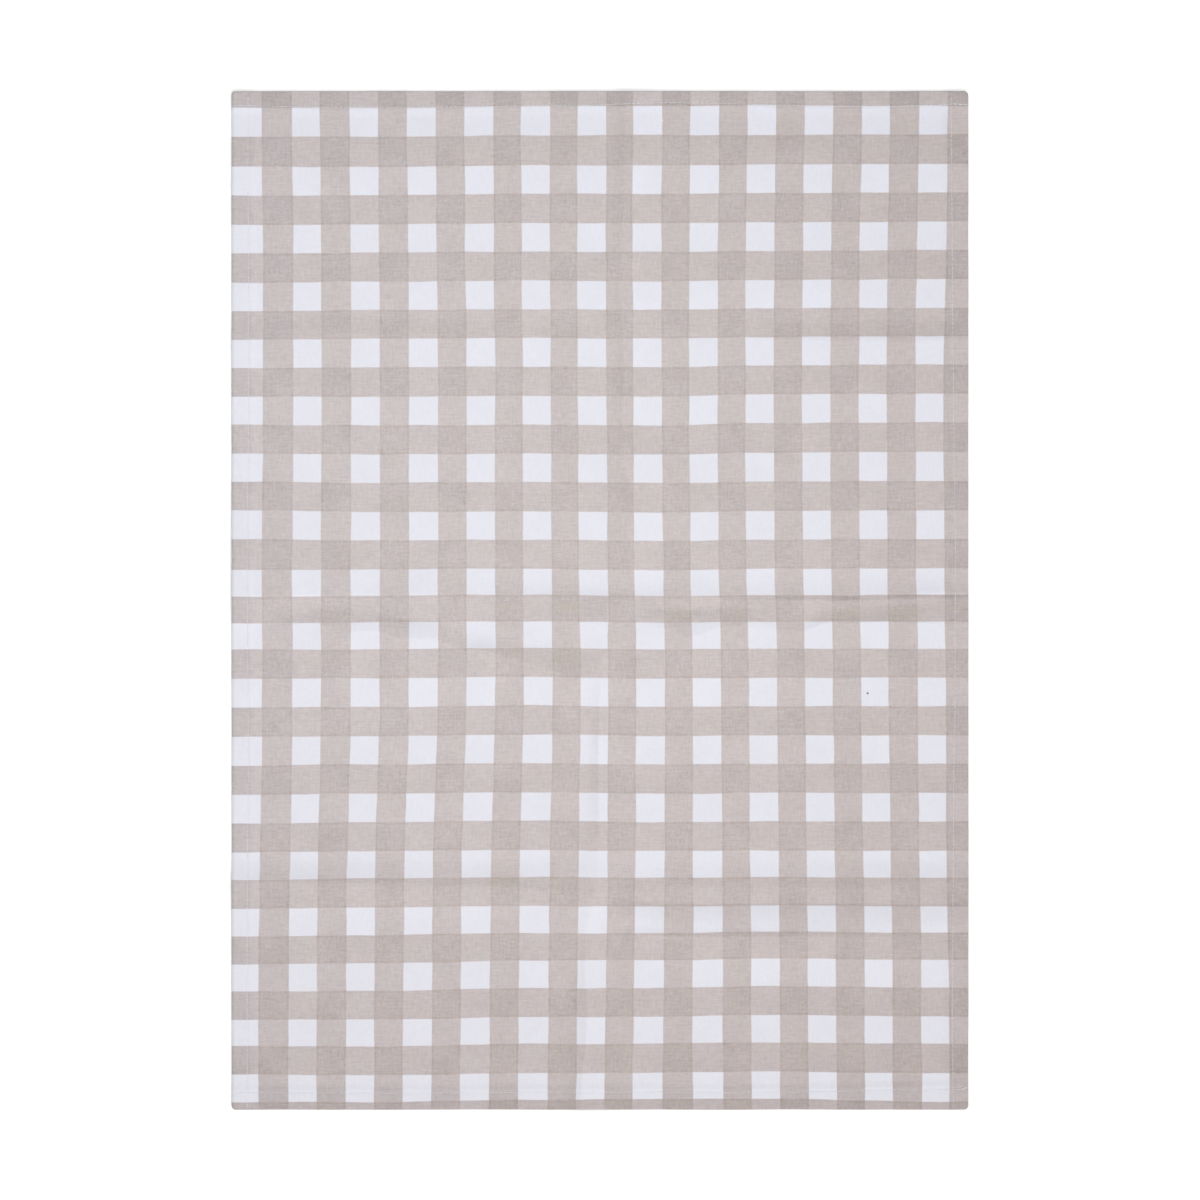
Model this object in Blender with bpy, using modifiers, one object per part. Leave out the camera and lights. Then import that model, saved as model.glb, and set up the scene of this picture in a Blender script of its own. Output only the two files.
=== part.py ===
"""Tea towel: one hemmed cotton panel lying face up, still creased where it was folded.

Metres, +Z up. X runs across the towel, Y along it, and the towel lies on z = 0.
The origin is at the middle of its underside. The panel is one cut piece: its
four edges are turned under twice and stitched, so each hem is a thicker band
of the same sheet.
"""

import math

import bpy
import numpy as np

# --- Driving sizes ---------------------------------------------------------
WIDTH = 0.500  # across, as it lies
LENGTH = 0.6905  # along, as it lies
CORNER_RADIUS = 0.003
PANEL_THICKNESS = 0.0012
HEM_THICKNESS = 0.0020  # three layers, pressed and stitched
HEM_FALL = 0.0030  # run over which the hem's thickness falls to the panel's

# From each edge to the inner fold of its hem, which lies 1.5 mm inside the seam.
HEM_TOP = 0.0117
HEM_BOTTOM = 0.0135
HEM_LEFT = 0.0126
HEM_RIGHT = 0.0128

# --- Creases ---------------------------------------------------------------
# The towel was folded in four along its length and in two across it, and slack beside the
# folds gathered into wrinkles. Each crease is a soft fold along a crest, and "runs" is the
# axis it follows. Its "stations" are, in millimetres, (along, across, height, reach, reach,
# fullness). The reaches are those of the flank towards the top or left hem, and of the one
# towards the bottom or right hem. "fullness" shapes the first flank: 0 is hollow and rises
# to a pinched crest, 0.5 is straight, and 1 rises steeply from its foot to a round crest.
# "radius" rounds the crest itself.
CREASES = [
    {"name": "middle_fold", "runs": "X", "radius": 0.5, "stations": [
        (-250, 2.6, 2.2, 130, 30, 0), (-232, 2.8, 2.9, 130, 26, 0), (-216, 3.0, 4.0, 130, 21, 0),
        (-196, 3.4, 2.1, 90, 17, 0), (-175, 3.6, 1.9, 80, 16, 0), (-152, 3.8, 1.0, 24, 40, 0),
        (-132, 3.8, 1.5, 30, 24, 0), (-95, 3.6, 1.6, 46, 24, 0), (-72, 3.2, 1.0, 12, 40, 0),
        (-50, 3.0, 1.1, 11, 120, 0), (-20, 2.8, 1.2, 10, 140, 0), (22, 2.4, 1.2, 9, 130, 0),
        (40, 2.4, 1.1, 12, 10, 0), (64, 2.4, 1.5, 20, 10, 0), (87, 2.5, 1.0, 12, 10, 0),
        (111, 2.6, 0.7, 10, 30, 0), (135, 2.8, 0.9, 14, 13, 0), (158, 3.0, 0.9, 14, 12, 0),
        (182, 3.4, 1.0, 16, 50, 0), (206, 3.8, 1.5, 15, 60, 0), (250, 5.2, 1.4, 15, 90, 0)]},
    {"name": "upper_fold", "runs": "X", "radius": 1.2, "stations": [
        (-250, 178.0, 1.0, 11, 100, 0.4), (-215, 178.0, 1.0, 11, 100, 0.4),
        (-150, 180.0, 1.2, 11, 100, 0.4), (-90, 179.0, 0.6, 10, 80, 0.4), (-40, 178.0, 0.1, 10, 60, 0.4),
        (60, 177.0, 0.1, 11, 60, 0.4), (105, 176.0, 0.6, 11, 80, 0.4), (135, 175.5, 1.4, 11, 120, 0.4),
        (165, 175.5, 1.8, 12, 120, 0.4), (195, 175.0, 2.2, 12, 120, 0.4), (250, 175.5, 2.1, 12, 120, 0.4)]},
    {"name": "lower_fold", "runs": "X", "radius": 1.6, "stations": [
        (-250, -191.0, 1.6, 12, 30, 0.2), (-225, -191.0, 2.0, 12, 28, 0.2), (-180, -192.5, 3.0, 15, 30, 0.2),
        (-140, -193.0, 2.1, 15, 30, 0.3), (-100, -194.5, 2.2, 15, 26, 0.3), (-62, -195.0, 3.8, 15, 46, 0.2),
        (-30, -199.0, 2.6, 21, 120, 0.4), (-12, -200.0, 2.0, 23, 120, 0.4), (20, -198.0, 1.0, 11, 24, 0.4),
        (55, -194.5, 1.4, 13, 40, 0.4), (100, -194.0, 1.3, 13, 36, 0.4), (145, -195.0, 1.7, 15, 26, 0.4),
        (180, -195.5, 2.2, 17, 28, 0.4), (215, -192.0, 1.9, 13, 50, 0.3), (250, -191.0, 1.6, 13, 50, 0.3)]},
    {"name": "upper_lengthwise_fold", "runs": "Y", "radius": 0.8, "stations": [
        (345, 17.0, 1.8, 9, 40, 0.2), (300, 16.6, 1.7, 8, 20, 0.2), (258, 16.0, 1.4, 8, 12, 0.2),
        (215, 14.4, 0.7, 6, 18, 0.2), (165, 16.4, 1.4, 7, 12, 0.2), (118, 15.8, 2.2, 12, 14, 0.2),
        (70, 19.0, 2.0, 16, 90, 0.3), (25, 20.5, 1.0, 12, 50, 0.3), (0, 21.0, 0.0, 9, 14, 0.3)]},
    {"name": "lower_lengthwise_fold", "runs": "Y", "radius": 0.8, "stations": [
        (-22, 1.0, 0.0, 10, 12, 0.3), (-45, 1.0, 1.3, 12, 10, 0.3), (-75, 0.0, 1.7, 11, 12, 0.2),
        (-97, -0.5, 2.4, 9, 18, 0.1), (-120, -0.5, 1.8, 9, 24, 0.1), (-150, -0.5, 1.9, 10, 30, 0.2),
        (-180, -1.0, 1.7, 14, 26, 0.5), (-205, -4.5, 1.2, 13, 20, 0.4), (-230, -10.0, 0.8, 7, 14, 0.1),
        (-255, -10.0, 1.6, 9, 18, 0.1), (-275, -8.5, 2.9, 13, 24, 0.2), (-295, -8.5, 3.0, 14, 30, 0.3),
        (-320, -11.5, 3.0, 13, 60, 0.4), (-345, -12.5, 3.0, 13, 60, 0.4)]},
    {"name": "slack_wrinkle", "runs": "X", "radius": 0.6, "stations": [
        (-222, -14.0, 0.0, 9, 40, 0.3), (-198, -14.5, 1.3, 9, 70, 0.2), (-174, -22.0, 3.0, 14, 80, 0.8),
        (-155, -21.0, 2.0, 12, 70, 0.5), (-134, -26.0, 2.8, 12, 70, 0.7), (-113, -27.0, 2.6, 12, 60, 0.6),
        (-94, -33.0, 1.3, 11, 50, 0.1), (-76, -35.0, 2.6, 13, 50, 0.1), (-59, -40.0, 1.4, 14, 14, 0.2),
        (-42, -45.0, 2.5, 12, 30, 0.6), (-25, -50.0, 3.0, 16, 60, 0.7), (-8, -53.0, 1.6, 13, 70, 0.6),
        (12, -55.0, 0.0, 12, 40, 0.5)]},
    {"name": "right_wrinkle", "runs": "X", "radius": 0.8, "stations": [
        (20, -17.0, 0.0, 12, 60, 0.6), (39, -19.0, 2.3, 12, 80, 0.6), (64, -24.5, 3.1, 17, 80, 0.7),
        (87, -18.0, 2.0, 11, 100, 0.6), (111, -20.0, 1.5, 13, 80, 0.6), (135, -21.5, 1.3, 10, 80, 0.3),
        (158, -15.5, 1.8, 9, 130, 0.2), (182, -15.5, 2.7, 10.5, 130, 0.3), (206, -15.5, 3.0, 11, 130, 0.4),
        (230, -17.0, 1.7, 14, 130, 0.6), (250, -17.0, 1.3, 14, 130, 0.6)]},
    {"name": "lower_right_wrinkle", "runs": "X", "radius": 0.8, "stations": [
        (0, -212.0, 0.0, 10, 20, 0.7), (14, -213.5, 1.7, 11, 20, 0.7), (30, -217.0, 2.2, 11, 40, 0.7),
        (55, -220.5, 3.1, 13.5, 46, 0.75), (100, -221.0, 3.0, 14, 46, 0.75), (160, -221.5, 3.2, 14.5, 50, 0.75),
        (205, -221.5, 3.0, 14.5, 60, 0.7), (235, -220.0, 2.2, 14, 60, 0.6), (250, -219.0, 1.8, 14, 60, 0.6)]},
    {"name": "lowest_right_wrinkle", "runs": "X", "radius": 0.4, "stations": [
        (0, -227.0, 0.0, 6, 14, 0.2), (20, -227.0, 0.6, 6, 14, 0.2), (50, -227.0, 1.1, 6.5, 16, 0.2),
        (100, -227.2, 1.1, 6.5, 24, 0.2), (150, -227.2, 0.9, 6.5, 24, 0.2), (200, -227.0, 0.5, 6, 24, 0.2),
        (238, -227.0, 0.0, 6, 14, 0.2)]},
]
# The cloth also swells a little off the floor beside the folds and below the top hem: the
# way the swelling runs, where its top is, how high it is by the left and by the right hem,
# and how far off it lies flat again, towards the top or left hem and the opposite one.
SWELLINGS = [
    ("X", 302.0, 0.8, 0.8, 28.0, 70.0), ("X", 208.0, 0.2, 0.5, 50.0, 20.0),
    ("X", 38.0, 0.2, 0.9, 90.0, 28.0), ("X", -155.0, 0.5, 0.9, 70.0, 24.0),
    ("Y", 4.0, 0.3, 0.3, 60.0, 60.0),
]

# --- Where the sheet is divided --------------------------------------------
# A closer run of lines over each group of creases: from, to and step, in millimetres.
LINES_ACROSS = [
    (-236.0, -44.0, 24.0), (-44.0, -24.0, 7.0), (-24.0, 30.0, 4.9), (30.0, 236.0, 26.0),
]
LINES_ALONG = [
    (-329.0, -244.0, 29.0), (-244.0, -176.0, 4.9), (-176.0, -58.0, 29.0),
    (-58.0, -22.0, 4.5), (-22.0, 14.0, 3.3), (14.0, 168.0, 31.0),
    (168.0, 192.0, 4.2), (192.0, 332.0, 28.0),
]


def stations_from(zones):
    """Positions in metres, evenly spaced within each zone."""
    found = []
    for start, end, step in zones:
        count = max(1, round((end - start) / step))
        found += [start + (end - start) * k / count for k in range(count)]
    return [value / 1000 for value in found + [zones[-1][1]]]


def edge_lines(half, low_hem, high_hem):
    """The lines that follow the corner rounding and the hem at each end."""
    low = [-half, -half + CORNER_RADIUS, -half + low_hem, -half + low_hem + HEM_FALL]
    high = [half - high_hem - HEM_FALL, half - high_hem, half - CORNER_RADIUS, half]
    return low, high


def along_path(at, table):
    """Smooth curve through (at, value) rows, with no overshoot in the run between two rows."""
    at_rows = np.array([row[0] for row in table], float)
    values = np.array([row[1] for row in table], float)
    if at_rows[0] > at_rows[-1]:
        at_rows, values = at_rows[::-1], values[::-1]
    steps = np.diff(values) / np.diff(at_rows)
    slopes = np.zeros(len(values))
    for k in range(1, len(values) - 1):
        if steps[k - 1] * steps[k] > 0:
            slopes[k] = 2 * steps[k - 1] * steps[k] / (steps[k - 1] + steps[k])
    slopes[0], slopes[-1] = steps[0], steps[-1]
    here = np.clip(at, at_rows[0], at_rows[-1])
    k = np.clip(np.searchsorted(at_rows, here) - 1, 0, len(steps) - 1)
    width = at_rows[k + 1] - at_rows[k]
    t = (here - at_rows[k]) / width
    return (
        values[k] * (1 + 2 * t) * (1 - t) ** 2
        + slopes[k] * width * t * (1 - t) ** 2
        + values[k + 1] * t * t * (3 - 2 * t)
        - slopes[k + 1] * width * t * t * (1 - t)
    )


def smooth(x, start, end):
    """0 before start and 1 after end, with a soft change between them."""
    part = np.clip((x - start) / (end - start), 0, 1)
    return part * part * (3 - 2 * part)


def ridge(x, y, crease):
    """How high one crease lifts the cloth at x, y. Millimetres."""
    along, across = (x, y) if crease["runs"] == "X" else (y, x)
    rows = crease["stations"]
    path, height, before, after, full = (
        along_path(along, [(row[0], row[k]) for row in rows]) for k in (1, 2, 3, 4, 5))
    ends = sorted((rows[0][0], rows[-1][0]))
    height = np.where((along < ends[0] - 1) | (along > ends[1] + 1), 0.0, height)
    offset = path - across if crease["runs"] == "X" else across - path
    from_crest = np.hypot(offset, crease["radius"]) - crease["radius"]
    up = np.clip(1 - from_crest / before, 0, 1)
    down = np.clip(1 - from_crest / after, 0, 1)
    first = (1 - full) * up**2 + full * up * (2 - up)
    second = (1 - full) * down**2 + full * down**2 * (3 - 2 * down)
    return height * np.where(offset < 0, first, second)


def lift(x, y):
    """Height of the cloth's underside over the surface it lies on. Metres in, metres out."""
    x, y = np.asarray(x) * 1000, np.asarray(y) * 1000
    height = sum(ridge(x, y, crease) for crease in CREASES)
    to_right = smooth(x, -80, 60)
    for runs, where, left_rise, right_rise, before, after in SWELLINGS:
        off = where - y if runs == "X" else x - where
        off = np.abs(off) / np.where(off < 0, before, after)
        rise = left_rise + (right_rise - left_rise) * to_right
        height = height + rise * np.cos(np.clip(off, 0, 1) * math.pi / 2) ** 2
    return np.where(height < 0.02, 0.0, height) / 1000


def clear_scene():
    for obj in list(bpy.data.objects):
        bpy.data.objects.remove(obj, do_unlink=True)


def cotton(name, colour):
    material = bpy.data.materials.new(name)
    material.use_nodes = True
    shader = material.node_tree.nodes["Principled BSDF"]
    shader.inputs["Base Color"].default_value = (*colour, 1.0)
    shader.inputs["Roughness"].default_value = 0.92
    shader.inputs["Metallic"].default_value = 0.0
    return material


def make_towel(collection):
    half_x, half_y = WIDTH / 2, LENGTH / 2
    low, high = edge_lines(half_x, HEM_LEFT, HEM_RIGHT)
    xs = np.array(low + stations_from(LINES_ACROSS)[1:-1] + high)
    low, high = edge_lines(half_y, HEM_BOTTOM, HEM_TOP)
    ys = np.array(low + stations_from(LINES_ALONG)[1:-1] + high)

    bpy.ops.mesh.primitive_grid_add(
        x_subdivisions=len(xs) - 1, y_subdivisions=len(ys) - 1, size=2.0
    )
    towel = bpy.context.active_object
    towel.name = "towel"
    mesh = towel.data
    mesh.name = "towel"

    # Move the even grid's lines to where the hems and creases need them.
    points = np.empty(len(mesh.vertices) * 3)
    mesh.vertices.foreach_get("co", points)
    points = points.reshape(-1, 3)
    column = np.rint((points[:, 0] + 1) / 2 * (len(xs) - 1)).astype(int)
    row = np.rint((points[:, 1] + 1) / 2 * (len(ys) - 1)).astype(int)
    x, y = xs[column], ys[row]

    # Draw each corner in to its rounding.
    corner = np.isin(column, (0, len(xs) - 1)) & np.isin(row, (0, len(ys) - 1))
    inset = CORNER_RADIUS * (1 - math.sqrt(0.5))
    x = np.where(corner, np.sign(x) * (half_x - inset), x)
    y = np.where(corner, np.sign(y) * (half_y - inset), y)

    points[:, 0], points[:, 1], points[:, 2] = x, y, lift(x, y)
    mesh.vertices.foreach_set("co", points.reshape(-1))
    mesh.update()

    # The hems keep the full thickness, and the panel inside them is thinner.
    hem = towel.vertex_groups.new(name="hem")
    in_hem = (
        (x < -half_x + HEM_LEFT + 1e-6) | (x > half_x - HEM_RIGHT - 1e-6)
        | (y < -half_y + HEM_BOTTOM + 1e-6) | (y > half_y - HEM_TOP - 1e-6)
    )
    hem.add([int(k) for k in np.flatnonzero(in_hem)], 1.0, "REPLACE")

    sheet = towel.modifiers.new("cloth thickness", "SOLIDIFY")
    sheet.thickness = HEM_THICKNESS
    sheet.offset = 1.0
    sheet.use_even_offset = False
    sheet.use_rim = True
    sheet.vertex_group = "hem"
    sheet.thickness_vertex_group = PANEL_THICKNESS / HEM_THICKNESS

    mesh.materials.append(cotton("printed_cotton", (0.66, 0.62, 0.63)))
    for polygon in mesh.polygons:
        polygon.use_smooth = True

    for other in list(towel.users_collection):
        other.objects.unlink(towel)
    collection.objects.link(towel)
    return towel


def main():
    clear_scene()
    scene = bpy.context.scene
    scene.unit_settings.system = "METRIC"
    scene.unit_settings.scale_length = 1.0
    collection = bpy.data.collections.new("tea_towel")
    scene.collection.children.link(collection)
    make_towel(collection)


main()
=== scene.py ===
"""Tea towel: its printed cotton, hems and stitching, lying face up on a pale floor.

Lengths are in millimetres until a mesh is made. X runs across the towel, Y along
it towards the top hem, and Z up. The floor is z = 0.
"""

import math

import bpy
import numpy as np
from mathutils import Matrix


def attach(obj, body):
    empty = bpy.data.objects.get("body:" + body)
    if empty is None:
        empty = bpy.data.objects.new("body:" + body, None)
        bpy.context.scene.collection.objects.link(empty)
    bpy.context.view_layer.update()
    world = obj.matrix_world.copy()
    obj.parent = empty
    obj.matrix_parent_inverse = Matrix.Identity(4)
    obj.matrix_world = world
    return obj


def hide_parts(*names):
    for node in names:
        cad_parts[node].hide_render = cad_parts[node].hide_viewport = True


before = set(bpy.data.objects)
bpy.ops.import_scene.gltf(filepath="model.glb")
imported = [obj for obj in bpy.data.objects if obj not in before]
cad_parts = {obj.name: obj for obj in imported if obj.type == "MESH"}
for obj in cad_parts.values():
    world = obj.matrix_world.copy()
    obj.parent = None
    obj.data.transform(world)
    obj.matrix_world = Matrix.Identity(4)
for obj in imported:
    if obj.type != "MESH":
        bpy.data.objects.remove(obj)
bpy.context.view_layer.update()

# --- Sizes -------------------------------------------------------------------
HALF_X, HALF_Y = 249.75, 345.25
CORNER_RADIUS = 3.0
CLOTH = 0.5  # one layer
TURNED_UNDER = 0.65  # what the two layers under a hem add to it
CORNER_EXTRA = 0.4  # and what is added where two hems cross
HEM_LIP = 1.5  # from the seam to the hem's inner fold
HEM_FALL = 4.6  # run over which the face comes down from the hem to the panel
GROOVE_DEPTH, GROOVE_RUN = 0.12, 0.8  # the dent that the seam pulls into the hem

# How far each seam runs from its edge, at places along it.
SEAMS = {
    "left": [(-345, 10.8), (-240, 10.7), (-150, 11.1), (-60, 11.1), (0, 10.5), (60, 10.8),
             (110, 11.4), (240, 11.6), (345, 11.2)],
    "right": [(-345, 10.6), (-237, 10.8), (-176, 10.5), (-136, 10.2), (-80, 9.3), (5, 8.9),
              (100, 9.9), (170, 10.6), (210, 10.8), (270, 11.4), (345, 12.0)],
    "bottom": [(-250, 11.5), (-135, 11.4), (-47, 11.8), (27, 12.3), (85, 11.8), (130, 12.0),
               (170, 12.8), (200, 13.7), (250, 14.1)],
    "top": [(-250, 9.9), (-173, 11.0), (-85, 10.3), (-40, 9.5), (8, 9.0), (48, 7.7),
            (85, 8.8), (130, 9.7), (166, 10.3), (204, 10.0), (250, 8.7)],
}

# Where the creases and the print lie is stated from a line this far above the middle.
NEARER_TOP = 0.46

# --- Creases -----------------------------------------------------------------
# As in the solid. Each crease is a soft fold along a crest. Its "stations" are (along,
# across, height, reach, reach, fullness). The reaches are those of the flank towards the
# top or left hem, and of the one towards the bottom or right hem. "fullness" shapes the
# first flank: 0 is hollow and rises to a pinched crest, 0.5 is straight, and 1 rises
# steeply from its foot to a round crest. "radius" rounds the crest itself.
CREASES = [
    {"name": "middle_fold", "runs": "X", "radius": 0.5, "stations": [
        (-250, 2.6, 2.2, 130, 30, 0), (-232, 2.8, 2.9, 130, 26, 0), (-216, 3.0, 4.0, 130, 18, 0),
        (-196, 3.4, 2.1, 90, 17, 0), (-175, 3.6, 1.9, 80, 16, 0), (-152, 3.8, 1.0, 24, 40, 0),
        (-132, 3.8, 1.5, 30, 24, 0), (-95, 3.6, 1.6, 46, 24, 0), (-72, 3.2, 1.0, 12, 40, 0),
        (-50, 3.0, 1.1, 11, 120, 0), (-20, 2.8, 1.2, 10, 140, 0), (22, 2.4, 1.2, 9, 130, 0),
        (40, 2.4, 1.1, 12, 10, 0), (64, 2.4, 1.5, 20, 10, 0), (87, 2.5, 1.0, 12, 10, 0),
        (111, 2.6, 0.7, 10, 30, 0), (135, 2.8, 0.9, 14, 13, 0), (158, 3.0, 0.9, 14, 12, 0),
        (182, 3.4, 1.0, 16, 50, 0), (206, 3.8, 1.5, 15, 60, 0), (250, 5.2, 1.4, 15, 90, 0)]},
    {"name": "upper_fold", "runs": "X", "radius": 1.2, "stations": [
        (-250, 178.0, 1.0, 11, 100, 0.4), (-215, 178.0, 1.0, 11, 100, 0.4),
        (-150, 180.0, 1.2, 11, 100, 0.4), (-90, 179.0, 0.6, 10, 80, 0.4), (-40, 178.0, 0.1, 10, 60, 0.4),
        (60, 177.0, 0.1, 11, 60, 0.4), (105, 176.0, 0.6, 11, 80, 0.4), (135, 175.5, 1.4, 11, 120, 0.4),
        (165, 175.5, 1.7, 12, 120, 0.4), (195, 175.0, 1.9, 12, 120, 0.4), (250, 175.5, 1.9, 12, 120, 0.4)]},
    {"name": "lower_fold", "runs": "X", "radius": 1.6, "stations": [
        (-250, -191.0, 1.6, 12, 30, 0.2), (-225, -191.0, 2.0, 12, 28, 0.2), (-180, -192.5, 3.0, 15, 30, 0.2),
        (-140, -193.0, 2.1, 15, 30, 0.3), (-100, -194.5, 2.2, 15, 26, 0.3), (-62, -194.5, 3.3, 15, 46, 0.2),
        (-30, -199.0, 2.6, 21, 120, 0.4), (-12, -200.0, 2.0, 23, 120, 0.4), (20, -198.0, 1.0, 11, 24, 0.4),
        (55, -194.5, 1.4, 13, 40, 0.4), (100, -194.0, 1.3, 13, 36, 0.4), (145, -195.0, 1.7, 15, 26, 0.4),
        (180, -195.5, 2.2, 17, 28, 0.4), (215, -192.0, 1.9, 13, 50, 0.3), (250, -191.0, 1.6, 13, 50, 0.3)]},
    {"name": "upper_lengthwise_fold", "runs": "Y", "radius": 0.8, "stations": [
        (345, 17.0, 0.9, 9, 40, 0.2), (326, 16.9, 1.6, 9, 30, 0.2), (300, 16.6, 1.7, 8, 20, 0.2), (258, 16.0, 1.4, 8, 12, 0.2),
        (215, 14.4, 0.7, 6, 18, 0.2), (165, 16.4, 1.4, 7, 12, 0.2), (118, 15.8, 2.2, 12, 14, 0.2),
        (70, 19.0, 2.0, 16, 90, 0.3), (25, 20.5, 1.0, 12, 50, 0.3), (0, 21.0, 0.0, 9, 14, 0.3)]},
    {"name": "lower_lengthwise_fold", "runs": "Y", "radius": 0.8, "stations": [
        (-22, 1.0, 0.0, 10, 12, 0.3), (-45, 1.0, 1.3, 12, 10, 0.3), (-75, 0.0, 1.7, 11, 12, 0.2),
        (-97, -0.5, 2.4, 9, 18, 0.1), (-120, -0.5, 1.8, 9, 24, 0.1), (-150, -0.5, 1.9, 10, 30, 0.2),
        (-180, -1.0, 1.7, 14, 26, 0.5), (-205, -4.5, 1.2, 13, 20, 0.4), (-230, -10.0, 0.8, 7, 14, 0.1),
        (-255, -10.0, 1.6, 9, 18, 0.1), (-275, -8.5, 2.9, 13, 24, 0.2), (-295, -8.5, 3.0, 14, 30, 0.3),
        (-320, -11.5, 3.0, 13, 60, 0.4), (-345, -12.5, 3.0, 13, 60, 0.4)]},
    {"name": "slack_wrinkle", "runs": "X", "radius": 0.6, "stations": [
        (-222, -14.0, 0.0, 9, 40, 0.3), (-198, -14.5, 1.3, 9, 70, 0.2), (-174, -22.0, 3.0, 14, 80, 0.8),
        (-155, -21.0, 2.0, 12, 70, 0.5), (-134, -26.0, 2.8, 12, 70, 0.7), (-113, -27.0, 2.6, 12, 60, 0.6),
        (-94, -33.0, 1.3, 11, 50, 0.1), (-76, -35.0, 2.6, 13, 50, 0.1), (-59, -40.0, 1.4, 14, 14, 0.2),
        (-42, -45.0, 2.5, 12, 30, 0.6), (-25, -50.0, 3.0, 16, 60, 0.7), (-8, -53.0, 1.6, 13, 70, 0.6),
        (12, -55.0, 0.0, 12, 40, 0.5)]},
    {"name": "right_wrinkle", "runs": "X", "radius": 0.8, "stations": [
        (20, -17.0, 0.0, 12, 60, 0.6), (39, -19.0, 2.3, 12, 80, 0.6), (64, -24.5, 3.1, 17, 80, 0.7),
        (87, -18.0, 2.0, 11, 100, 0.6), (111, -20.0, 1.5, 13, 80, 0.6), (135, -21.5, 1.3, 10, 80, 0.3),
        (158, -15.5, 1.8, 9, 130, 0.2), (182, -15.5, 2.3, 10.5, 130, 0.3), (206, -15.5, 2.7, 11, 130, 0.4),
        (230, -17.0, 1.7, 14, 130, 0.6), (250, -17.0, 1.3, 14, 130, 0.6)]},
    {"name": "lower_right_wrinkle", "runs": "X", "radius": 0.8, "stations": [
        (0, -212.0, 0.0, 10, 20, 0.7), (14, -213.5, 1.7, 11, 20, 0.7), (30, -217.0, 2.2, 11, 40, 0.7),
        (55, -220.5, 3.1, 13.5, 46, 0.75), (100, -221.0, 3.0, 14, 46, 0.75), (160, -221.5, 3.2, 14.5, 50, 0.75),
        (205, -221.5, 3.0, 14.5, 60, 0.7), (235, -220.0, 2.2, 14, 60, 0.6), (250, -219.0, 1.8, 14, 60, 0.6)]},
    {"name": "lowest_right_wrinkle", "runs": "X", "radius": 0.4, "stations": [
        (0, -227.5, 0.0, 6, 14, 0.2), (20, -227.5, 0.7, 6, 14, 0.2), (50, -227.8, 1.3, 6.5, 16, 0.2),
        (100, -228.0, 1.5, 6.5, 24, 0.2), (150, -228.0, 1.2, 6.5, 24, 0.2), (200, -227.8, 0.6, 6, 24, 0.2),
        (238, -227.5, 0.0, 6, 14, 0.2)]},
]
# The cloth also swells a little off the floor beside the folds and below the top hem: the
# way the swelling runs, where its top is, how high it is by the left and by the right hem,
# and how far off it lies flat again, towards the top or left hem and the opposite one.
SWELLINGS = [
    ("X", 302.0, 0.8, 0.8, 28.0, 70.0), ("X", 208.0, 0.2, 0.5, 50.0, 20.0),
    ("X", 38.0, 0.2, 0.9, 90.0, 28.0), ("X", -155.0, 0.5, 0.9, 70.0, 24.0),
    ("Y", 4.0, 0.3, 0.3, 60.0, 60.0),
]

# Painted shade along the middle fold: the ink is darkened in a narrow line by its crest,
# where the fold's shade falls: (along, across, how much).
FOLD_SHADE_LINE = [
    (-250, 2.0, 0.10), (-150, 3.4, 0.10), (-30, 3.4, 0.06), (60, 2.8, 0.10), (95, 2.4, 0.14),
    (130, 2.2, 0.34), (148, 2.2, 0.42), (168, 2.2, 0.48), (187, 2.4, 0.42), (207, 3.2, 0.44),
    (228, 3.4, 0.40), (250, 3.4, 0.26),
]
FOLD_SHADE_FROM_TO = (-0.9, 0.2, 1.7, 3.2)  # it comes in over the first two, towards the bottom hem, and goes over the others

# In a few places beside it the ink is darkened with painted shade too: (left, right, top, bottom, how much).
# Each place fades out at its edges.
FOLD_SHADE_PATCHES = [
    (-13, 5, 2.0, -13.0, 0.35), (-35, -17, 2.0, -13.0, 0.08), (27, 42, 2.0, -13.0, 0.16),
    (104, 119, 2.0, -10.0, 0.11), (-170, -155, 2.0, -8.0, 0.13), (-209, -192, 2.0, -8.0, 0.08),
]

# Beside the folds the crossings are painted yellower in some places, a tint that stands in for the folds' shade,
# stated in the same way.
SHADE_YELLOWED = [
    (-190, -165, -11.5, -14.5, 1.0), (-74, -50, -1.5, -9.5, 0.8), (-37, -14, -1.5, -9.5, 1.1),
    (45, 62, -4.5, -13.5, 1.0), (84, 102, -4.5, -13.5, 1.0), (122, 137, -6.0, -13.5, 0.2),
    (159, 176, -5.0, -13.5, 1.0), (196, 216, -5.0, -13.5, 1.1), (234, 249, -2.5, -8.5, 0.7),
    (-72, -50, -32.5, -42.0, 0.8), (-37, -12, -34.5, -43.5, 1.1), (-78, -52, -186.0, -195.0, 0.9),
    (-34, -16, -188.0, -199.0, 0.5),
]

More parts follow.
